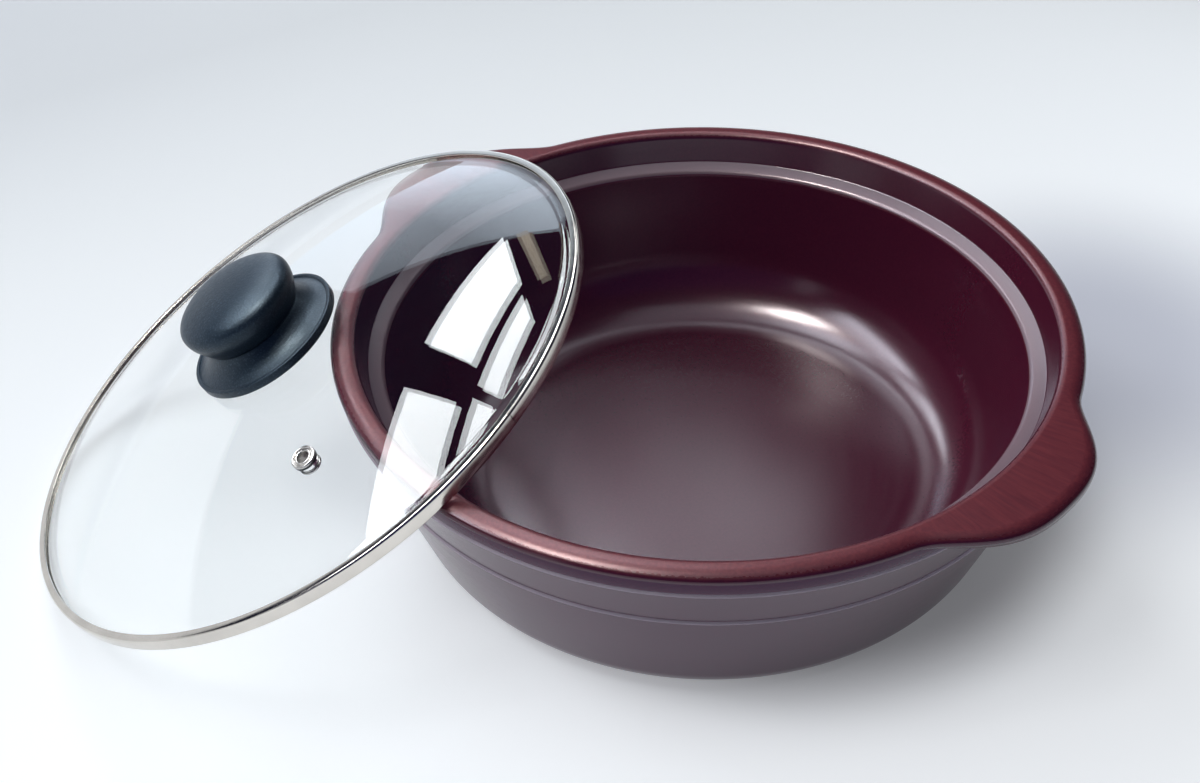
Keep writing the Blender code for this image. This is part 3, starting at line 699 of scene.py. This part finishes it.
def make_cap():
    """The knob's grip: waisted at the neck, widest in its upper half, with a domed top."""
    low = knob_heights()[1] + GAP
    soft = KNOB_SOFTENING
    rise = GRIP_CROWN + GRIP_SHOULDER
    widest = low + GRIP_HEIGHT - rise
    pocket = INSERT_RADIUS + GAP
    pocket_top = low + GRIP_HEIGHT - INSERT_COVER + GAP
    points = [(0.0, pocket_top), (pocket, pocket_top), (pocket, low)]
    points += [(KNOB_NECK_RADIUS, low)]
    for index in range(1, WAIST_PARTS):
        share = index / (WAIST_PARTS - 1)
        radius = KNOB_NECK_RADIUS + GRIP_FLARE * sin(share * pi / 2)
        points.append((radius, low + soft + (widest - low - soft) * share))
    for index in range(1, CROWN_PARTS):
        angle = pi / 2 * index / CROWN_PARTS
        points.append((GRIP_RADIUS * cos(angle) ** GRIP_FULLNESS,
                       widest + rise * sin(angle) ** GRIP_FULLNESS))
    points.append((0.0, widest + rise))
    return turned("knob_cap", softened(points, soft, closed=False), KNOB_COLUMNS)


def lid_matrix():
    """Place of the lid's own frame: its lower edge's middle, with the knob along +Z."""
    outward = Vector(frame["joints"][0]["axis"]).normalized()
    level = Vector((-cos(LEAN_AZIMUTH), -sin(LEAN_AZIMUTH), 0.0))
    uphill = (level - outward * level.dot(outward)).normalized()
    distance = RIM_RADIUS + LEAN_STANDOFF
    place = Vector((distance * cos(LEAN_PLACE), distance * sin(LEAN_PLACE),
                    LID_RADIUS * hypot(outward.x, outward.y)))
    turn = Matrix((uphill, outward.cross(uphill), outward)).transposed().to_4x4()
    return Matrix.Translation(place) @ turn


def make_camera():
    data = bpy.data.cameras.new("camera")
    data.lens = CAMERA_LENS
    data.sensor_width = SENSOR_WIDTH
    forward = Vector((sin(CAMERA_YAW) * cos(CAMERA_PITCH), cos(CAMERA_YAW) * cos(CAMERA_PITCH),
                      -sin(CAMERA_PITCH)))
    level = Vector((cos(CAMERA_YAW), -sin(CAMERA_YAW), 0.0))
    upward = level.cross(forward)
    right = level * cos(CAMERA_ROLL) + upward * sin(CAMERA_ROLL)
    top = upward * cos(CAMERA_ROLL) - level * sin(CAMERA_ROLL)
    camera = bpy.data.objects.new("camera", data)
    bpy.context.scene.collection.objects.link(camera)
    camera.matrix_world = (Matrix.Translation(CAMERA_PLACE)
                           @ Matrix((right, top, -forward)).transposed().to_4x4())
    bpy.context.scene.camera = camera


def link(tree, source, target):
    tree.links.new(source, target)


def add(tree, kind, settings=None, **inputs):
    """New shader node. Inputs are plain values or sockets; a_b stands for "A B"."""
    made = tree.nodes.new("ShaderNode" + kind)
    for key, value in (settings or {}).items():
        setattr(made, key, value)
    for key, value in inputs.items():
        socket = made.inputs[key.replace("_", " ")]
        if isinstance(value, bpy.types.NodeSocket):
            tree.links.new(value, socket)
        else:
            socket.default_value = value
    return made


def blank_material(name):
    made = bpy.data.materials.new(name)
    made.use_nodes = True
    tree = made.node_tree
    return made, tree, tree.nodes["Principled BSDF"]


def own_place(tree):
    """The point's place in its piece's own frame, in metres."""
    return add(tree, "Attribute", {"attribute_name": "own_place"}).outputs["Vector"]


def node_place(tree):
    """The same for a CAD node, which carries no place of its own."""
    return add(tree, "TexCoord").outputs["Object"]


def around(tree):
    """Place that is the same all round the turning axis: radius, 0, height."""
    parts = add(tree, "SeparateXYZ", Vector=own_place(tree))
    flat = add(tree, "CombineXYZ", X=parts.outputs["X"], Y=parts.outputs["Y"])
    radius = add(tree, "VectorMath", {"operation": "LENGTH"})
    link(tree, flat.outputs[0], radius.inputs[0])
    both = add(tree, "CombineXYZ", X=radius.outputs["Value"], Z=parts.outputs["Z"])
    return both.outputs[0]


def noise(tree, vector, scale, detail=3.0, rough=0.55):
    made = add(tree, "TexNoise", Vector=vector, Scale=scale, Detail=detail, Roughness=rough)
    return made.outputs["Fac"]


def ramp(tree, value, low, high, to_low, to_high):
    """The value, spread from low..high to to_low..to_high."""
    made = add(tree, "MapRange", Value=value)
    for name, number in (("From Min", low), ("From Max", high), ("To Min", to_low),
                         ("To Max", to_high)):
        made.inputs[name].default_value = number
    return made.outputs["Result"]


def times(tree, first, second):
    made = add(tree, "Math", {"operation": "MULTIPLY"})
    link(tree, first, made.inputs[0])
    if isinstance(second, bpy.types.NodeSocket):
        link(tree, second, made.inputs[1])
    else:
        made.inputs[1].default_value = second
    return made.outputs[0]


def blend_colours(tree, share, first, second):
    made = tree.nodes.new("ShaderNodeMix")
    made.data_type = "RGBA"
    link(tree, share, made.inputs["Factor"])
    for socket, value in ((made.inputs[6], first), (made.inputs[7], second)):
        if isinstance(value, bpy.types.NodeSocket):
            link(tree, value, socket)
        else:
            socket.default_value = (*value, 1.0)
    return made.outputs[2]


def bumped(tree, shader, *layers):
    """Stack bumps, each (height socket, distance in metres, strength)."""
    normal = None
    for height, distance, strength in layers:
        made = add(tree, "Bump", Height=height, Distance=distance, Strength=strength)
        if normal is not None:
            link(tree, normal, made.inputs["Normal"])
        normal = made.outputs["Normal"]
    link(tree, normal, shader.inputs["Normal"])


def carried(tree, name):
    """A number that each point of the mesh carries."""
    return add(tree, "Attribute", {"attribute_name": name}).outputs["Fac"]


def glaze_material():
    """Deep burgundy satin glaze, browner where it runs thin over the edges, with a pale highlight
    and sheen painted on the steps' edges and the seat, and a faint painted blue glow for its shade.
    """
    made, tree, shader = blank_material("burgundy_glaze")
    place = own_place(tree)
    fine = noise(tree, place, GLAZE_GRAIN, 4.0, 0.7)
    body = blend_colours(tree, ramp(tree, fine, *SPREAD, 0.0, 1.0),
                         GLAZE_DEEP, GLAZE_LIGHT)
    thin = carried(tree, "thin_glaze")
    broken = times(tree, thin, ramp(tree, fine, 0.35, 0.65, 0.5, 1.0))
    body = blend_colours(tree, broken, body, GLAZE_THIN)
    body = blend_colours(tree, carried(tree, "crest_highlight"), body, GLAZE_CREST_HIGHLIGHT)
    link(tree, body, shader.inputs["Base Color"])
    tint = blend_colours(tree, carried(tree, "outside"), SHEEN_INSIDE, SHEEN_OUTSIDE)
    tint = blend_colours(tree, thin, tint, SHEEN_THIN)
    link(tree, tint, shader.inputs["Specular Tint"])
    rings = ramp(tree, noise(tree, around(tree), GLAZE_RINGS), *SPREAD, 0.0, RING_DULLNESS)
    dull = add(tree, "Math", {"operation": "MULTIPLY_ADD"})
    link(tree, thin, dull.inputs[0])
    dull.inputs[1].default_value = THIN_DULLNESS
    link(tree, rings, dull.inputs[2])
    rough = add(tree, "Math", {"operation": "ADD"})
    link(tree, ramp(tree, noise(tree, place, GLAZE_BLOOM), *SPREAD, *GLAZE_ROUGHNESS),
         rough.inputs[0])
    link(tree, dull.outputs[0], rough.inputs[1])
    link(tree, rough.outputs[0], shader.inputs["Roughness"])
    link(tree, ramp(tree, carried(tree, "outside"), 0.0, 1.0, 0.5, OUTSIDE_GLOSS),
         shader.inputs["Specular IOR Level"])
    shader.inputs["IOR"].default_value = GLAZE_IOR
    # a faint blue glow painted on the glaze, standing in for the blue tint of its shade
    shader.inputs["Emission Color"].default_value = (*GLAZE_PAINTED_GLOW, 1.0)
    shader.inputs["Emission Strength"].default_value = GLAZE_PAINTED_GLOW_STRENGTH
    bumped(tree, shader,
           (noise(tree, around(tree), TURNING_LINES, 2.0), TURNING_DEPTH, 0.5),
           (noise(tree, place, PINHOLES, 2.0), PINHOLE_DEPTH, 0.6))
    return made


def glass_material():
    """Clear tempered glass. Light from the lamps passes it, so it casts a faint shadow."""
    made, tree, shader = blank_material("clear_glass")
    place = own_place(tree)
    shader.inputs["Base Color"].default_value = (*GLASS_TINT, 1.0)
    shader.inputs["Transmission Weight"].default_value = 1.0
    shader.inputs["IOR"].default_value = GLASS_IOR
    smears = noise(tree, place, GLASS_SMEARS, 5.0, 0.65)
    smear = ramp(tree, smears, 0.5, 0.8, 0.0, SMEAR_ROUGHNESS)
    link(tree, smear, shader.inputs["Roughness"])
    bumped(tree, shader, (noise(tree, place, GLASS_WAVES, 1.0), WAVE_DEPTH, 0.25))
    clear = add(tree, "BsdfTransparent")
    clear.inputs["Color"].default_value = (*GLASS_SHADOW, 1.0)
    path = add(tree, "LightPath")
    mixed = add(tree, "MixShader")
    passing = add(tree, "Math", {"operation": "MAXIMUM"})
    link(tree, path.outputs["Is Shadow Ray"], passing.inputs[0])
    link(tree, path.outputs["Is Diffuse Ray"], passing.inputs[1])
    link(tree, passing.outputs[0], mixed.inputs[0])
    link(tree, shader.outputs[0], mixed.inputs[1])
    link(tree, clear.outputs[0], mixed.inputs[2])
    link(tree, mixed.outputs[0], tree.nodes["Material Output"].inputs["Surface"])
    return made


def metal_material(name, where=around):
    """Metal with a few smudges and fine lines round its turning axis, or grain on a CAD node."""
    made, tree, shader = blank_material(name)
    place = own_place(tree) if where is around else where(tree)
    colour, rough, lines = METALS[name]
    lowest, highest = [rough * share for share in METAL_WEAR_RANGE]
    shader.inputs["Metallic"].default_value = 1.0
    stain = ramp(tree, noise(tree, place, METAL_SMUDGES, 4.0), 0.35, 0.75, 0.0, 1.0)
    duller = tuple(value * SMUDGE for value in colour)
    link(tree, blend_colours(tree, stain, colour, duller), shader.inputs["Base Color"])
    link(tree, ramp(tree, noise(tree, place, METAL_WEAR), *SPREAD, lowest, highest),
         shader.inputs["Roughness"])
    bumped(tree, shader, (noise(tree, where(tree), lines, 2.0), METAL_DEPTH, 0.6))
    return made


def plastic_material():
    """Charcoal moulded plastic with a fine spark-eroded grain."""
    made, tree, shader = blank_material("charcoal_plastic")
    place = own_place(tree)
    fleck = ramp(tree, noise(tree, place, PLASTIC_FLECKS, 2.0), 0.52, 0.68, 0.0, 0.8)
    link(tree, blend_colours(tree, fleck, CHARCOAL, CHARCOAL_FLECK),
         shader.inputs["Base Color"])
    link(tree, ramp(tree, noise(tree, place, PLASTIC_WEAR), *SPREAD, *PLASTIC_ROUGHNESS),
         shader.inputs["Roughness"])
    shader.inputs["IOR"].default_value = PLASTIC_IOR
    shader.inputs["Specular Tint"].default_value = (*PLASTIC_SHEEN, 1.0)
    bumped(tree, shader, (noise(tree, place, PLASTIC_GRAIN, 2.0), PLASTIC_DEPTH, 0.8))
    return made


def silicone_material():
    made, tree, shader = blank_material("clear_silicone")
    cloud = noise(tree, node_place(tree), SILICONE_CLOUDS)
    link(tree, blend_colours(tree, cloud, *SILICONE),
         shader.inputs["Base Color"])
    link(tree, ramp(tree, cloud, *SPREAD, *SILICONE_ROUGHNESS), shader.inputs["Roughness"])
    shader.inputs["Subsurface Weight"].default_value = SILICONE_SCATTER
    shader.inputs["Subsurface Radius"].default_value = SILICONE_DEPTH
    return made


def dress(piece, finish, body, slot, *nodes):
    """Give a new piece its finish, its body and the CAD nodes that it stands for."""
    piece.data.materials.clear()
    piece.data.materials.append(finish)
    if body == "lid":
        piece.data.transform(lid_matrix())
    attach(piece, body)
    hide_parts(*nodes)


def stage_mesh(name, points, faces, finish):
    """A card or floor that isn't part of the object."""
    mesh = bpy.data.meshes.new(name)
    mesh.from_pydata(points, [], faces)
    mesh.materials.append(finish)
    card = bpy.data.objects.new(name, mesh)
    bpy.context.scene.collection.objects.link(card)
    return card


def upright(azimuth, distance, corners):
    """Points of an upright card, from (sideways, height) pairs."""
    out = Vector((cos(azimuth), sin(azimuth), 0.0))
    side = Vector((sin(azimuth), -cos(azimuth), 0.0))
    return [tuple(out * distance + side * across + Vector((0, 0, height)))
            for across, height in corners]


def card(name, points, finish, lights=True):
    """Cards of four points each, hidden from the camera. Some only show in gloss."""
    faces = [tuple(range(index, index + 4)) for index in range(0, len(points), 4)]
    made = stage_mesh(name, points, faces, finish)
    made.visible_camera = False
    made.visible_transmission = not lights
    made.visible_diffuse = lights
    made.visible_shadow = lights
    return made


def glowing(name, colour, radiance):
    made = bpy.data.materials.new(name)
    made.use_nodes = True
    tree = made.node_tree
    tree.nodes.clear()
    shine = add(tree, "Emission", Strength=radiance)
    shine.inputs["Color"].default_value = (*colour, 1.0)
    out = tree.nodes.new("ShaderNodeOutputMaterial")
    link(tree, shine.outputs[0], out.inputs["Surface"])
    return made


def window_panes():
    """Four panes as (sideways, height) corners: lower and upper, far and near."""
    panes = []
    for low, high, inset in ((SILL, RAIL_LOW, 0.0), (RAIL_HIGH, HEAD, RAIL_INSET)):
        far_low = PANE_FAR_END - PANE_LEAN * (low - SILL)
        far_high = PANE_FAR_END - PANE_LEAN * (high - SILL)
        panes += [(POST_FAR - inset, low), (far_low, low),
                  (far_high, high), (POST_FAR - inset, high)]
        panes += [(PANE_NEAR_END, low), (POST_NEAR + inset / 2, low),
                  (POST_NEAR + inset / 2, high), (PANE_NEAR_END, high)]
    return panes


def nearness(tree, place, reach):
    """1 within the first reach of a place, falling to 0 at the second."""
    where = add(tree, "NewGeometry").outputs["Position"]
    away = add(tree, "VectorMath", {"operation": "DISTANCE"})
    link(tree, where, away.inputs[0])
    away.inputs[1].default_value = place
    made = add(tree, "MapRange", {"interpolation_type": "SMOOTHSTEP"}, Value=away.outputs["Value"])
    for name, number in (("From Min", reach[0]), ("From Max", reach[1]), ("To Min", 1.0),
                         ("To Max", 0.0)):
        made.inputs[name].default_value = number
    return made.outputs["Result"]


def lifted_floor():
    """Pale floor, with painted light making it a little paler where it is looked at than where it
    only bounces light; the painted light grows across the floor and is weaker by the pot, and
    painted shade greys it at the back left and right of the pot.
    """
    made, tree, shader = blank_material("pale_floor")
    # painted shade: the floor is greyer towards its back left
    grey_shade = nearness(tree, GREY_SHADE_PLACE, GREY_SHADE_REACH)
    colour = blend_colours(tree, grey_shade, PALE_FLOOR, GREY_SHADE_FLOOR)
    colour = blend_colours(tree, nearness(tree, SHADE_PLACE, SHADE_REACH), colour, SHADE_FLOOR)
    link(tree, colour, shader.inputs["Base Color"])
    shader.inputs["Roughness"].default_value = FLOOR_ROUGHNESS
    shader.inputs["Specular IOR Level"].default_value = FLOOR_GLOSS
    # painted light: the floor glows in its own colour for the rays that look at it
    link(tree, colour, shader.inputs["Emission Color"])
    away = ramp(tree, nearness(tree, LIFT_PLACE, LIFT_REACH), 0.0, 1.0, 1.0, LIFT_NEAR)
    lift = times(tree, ramp(tree, along(tree, LIFT_SLOPE), *LIFT_RANGE), away)
    lift = times(tree, lift, nearness(tree, MIDDLE, LIFT_AREA))
    link(tree, times(tree, lift, looked_at(tree)), shader.inputs["Emission Strength"])
    pale = add(tree, "Emission", Strength=1.0)
    pale.inputs["Color"].default_value = (*PALE, 1.0)
    far = ramp(tree, nearness(tree, MIDDLE, FAR_REACH), 0.0, 1.0, 1.0, 0.0)
    mixed = add(tree, "MixShader")
    link(tree, times(tree, far, looked_at(tree)), mixed.inputs[0])
    link(tree, shader.outputs[0], mixed.inputs[1])
    link(tree, pale.outputs[0], mixed.inputs[2])
    link(tree, mixed.outputs[0], tree.nodes["Material Output"].inputs["Surface"])
    return made


def along(tree, direction):
    """The point's place along a direction, times the direction's length."""
    made = add(tree, "VectorMath", {"operation": "DOT_PRODUCT"})
    link(tree, add(tree, "NewGeometry").outputs["Position"], made.inputs[0])
    made.inputs[1].default_value = direction
    return made.outputs["Value"]


def looked_at(tree):
    """1 for camera, gloss and glass rays, 0 for the rays that carry light to matte surfaces."""
    path = add(tree, "LightPath")
    seen = add(tree, "Math", {"operation": "MAXIMUM"})
    link(tree, path.outputs["Is Camera Ray"], seen.inputs[0])
    link(tree, path.outputs["Is Glossy Ray"], seen.inputs[1])
    both = add(tree, "Math", {"operation": "MAXIMUM"})
    link(tree, seen.outputs[0], both.inputs[0])
    link(tree, path.outputs["Is Transmission Ray"], both.inputs[1])
    return both.outputs[0]


def toward(azimuth, elevation):
    """Unit vector from angles in degrees."""
    level = cos(radians(elevation))
    return Vector((cos(radians(azimuth)) * level, sin(radians(azimuth)) * level,
                   sin(radians(elevation))))


def box(azimuth, elevation, half_width, half_height, distance):
    """Corners of a soft box that faces the pot; the angles are in degrees."""
    middle = toward(azimuth, elevation)
    side = Vector((sin(radians(azimuth)), -cos(radians(azimuth)), 0.0))
    upward = side.cross(middle)
    side *= distance * tan(radians(half_width))
    upward *= distance * tan(radians(half_height))
    return [tuple(middle * distance + side * x + upward * y) for x, y in SQUARE]


def sweep_material():
    """Pale backdrop that the gloss shows, brightest at its right and fading out to its left."""
    made = glowing("pale_sweep", SWEEP_COLOUR, 1.0)
    tree = made.node_tree
    side = along(tree, (sin(SWEEP_AZIMUTH), -cos(SWEEP_AZIMUTH), 0.0))
    levels = add(tree, "ValToRGB", Fac=ramp(tree, side, *SWEEP_ENDS, 0.0, 1.0))
    stops = levels.color_ramp.elements
    for index, (place, level) in enumerate(SWEEP_LEVELS):
        if 0 < index < len(SWEEP_LEVELS) - 1:
            stops.new(place)
        stops[index].position = place
        stops[index].color = (level, level, level, 1.0)
    radiance = times(tree, levels.outputs["Color"], SWEEP_RADIANCE)
    link(tree, radiance, tree.nodes["Emission"].inputs["Strength"])
    return made


def level_square(half, height):
    return [(half * x, half * y, height) for x, y in SQUARE]


def make_stage():
    stage_mesh("floor", level_square(FLOOR_HALF, 0.0), [(0, 1, 2, 3)], lifted_floor())
    card("window", upright(WINDOW_AZIMUTH, WINDOW_DISTANCE, window_panes()),
         glowing("daylight", DAYLIGHT, WINDOW_RADIANCE), lights=False)
    dark = glowing("night", NIGHT, NIGHT_RADIANCE)
    for name, (azimuth, low) in WALLS.items():
        card(name, wall(azimuth, low), dark, lights=False)
    card("front_wall", wall(*FRONT_WALL), glowing("front_night", FRONT_NIGHT, FRONT_NIGHT_RADIANCE),
         lights=False)
    card("ceiling", level_square(ROOM_HALF, ROOM_HEIGHT), dark, lights=False)
    (left, right), (low, high) = SWEEP_ENDS, SWEEP_HEIGHTS
    sweep = [(left, low), (right, low), (right, high), (left, high)]
    card("sweep", upright(SWEEP_AZIMUTH, SWEEP_DISTANCE, sweep), sweep_material(), lights=False)
    for name, (distance, *angles, radiance, colour) in NEAR_GLOWS.items():
        card(name, box(*angles, distance), glowing(name, colour, radiance), lights=False)
    strip = [tuple(Vector(STRIP_EYE) + toward(*angles) * GLOSS_DISTANCE) for angles in STRIP]
    card("strip", strip, glowing("curtain_edge", STRIP_COLOUR, STRIP_RADIANCE), lights=False)
    for boxes, distance, lights in ((LIGHTS, LIGHT_DISTANCE, True),
                                    (GLOSSES, GLOSS_DISTANCE, False)):
        for name, (*angles, radiance, colour) in boxes.items():
            made = card(name, box(*angles, distance), glowing(name, colour, radiance), lights)
            made.visible_glossy = not lights


def wall(azimuth, low):
    """A wall of the room, from a height up to the ceiling."""
    corners = [(-ROOM_HALF, low), (ROOM_HALF, low),
               (ROOM_HALF, ROOM_HEIGHT), (-ROOM_HALF, ROOM_HEIGHT)]
    return upright(radians(azimuth), WALL_DISTANCE, corners)


def make_world():
    world = bpy.data.worlds.new("world")
    bpy.context.scene.world = world
    world.use_nodes = True
    tree = world.node_tree
    sky = tree.nodes["Background"]
    sky.inputs["Color"].default_value = (*SKY, 1.0)
    sky.inputs["Strength"].default_value = AMBIENT
    pale = add(tree, "Background", Strength=1.0)
    pale.inputs["Color"].default_value = (*PALE, 1.0)
    mixed = add(tree, "MixShader")
    link(tree, looked_at(tree), mixed.inputs[0])
    link(tree, sky.outputs[0], mixed.inputs[1])
    link(tree, pale.outputs[0], mixed.inputs[2])
    link(tree, mixed.outputs[0], tree.nodes["World Output"].inputs["Surface"])


def finish_node(name, finish):
    """A CAD node that keeps its shape gets a better material."""
    mesh = frame["nodes"][name].data
    mesh.materials.clear()
    mesh.materials.append(finish)


def main():
    make_camera()
    make_stage()
    make_world()
    glaze = glaze_material()
    plastic = plastic_material()
    silicone = silicone_material()
    band_steel = metal_material("polished_steel")
    vent_steel = metal_material("eyelet_steel")
    shade_steel = metal_material("painted_shade_steel")
    screw_steel = metal_material("screw_steel", node_place)
    brass = metal_material("turned_brass", node_place)
    dress(make_pot(), glaze, "pot", "clay_glaze", "pot_body")
    dress(make_glass(), glass_material(), "lid", "lid_glass", "lid_glass")
    dress(make_band(), band_steel, "lid", "band_steel", "lid_rim_band")
    dress(make_eyelet(), vent_steel, "lid", "vent_steel", "vent_eyelet")
    dress(make_neck(), shade_steel, "lid", "vent_steel", "vent_eyelet")
    dress(make_skirt(), plastic, "lid", "knob_plastic", "knob_base")
    dress(make_cap(), plastic, "lid", "knob_plastic", "knob_grip")
    for name, finish in (("vent_washer", screw_steel), ("knob_gasket_top", silicone),
                         ("knob_gasket_under", silicone), ("knob_washer", screw_steel),
                         ("knob_insert", brass), ("knob_screw", screw_steel)):
        finish_node(name, finish)
    bpy.context.scene.view_settings.view_transform = "Standard"


main()
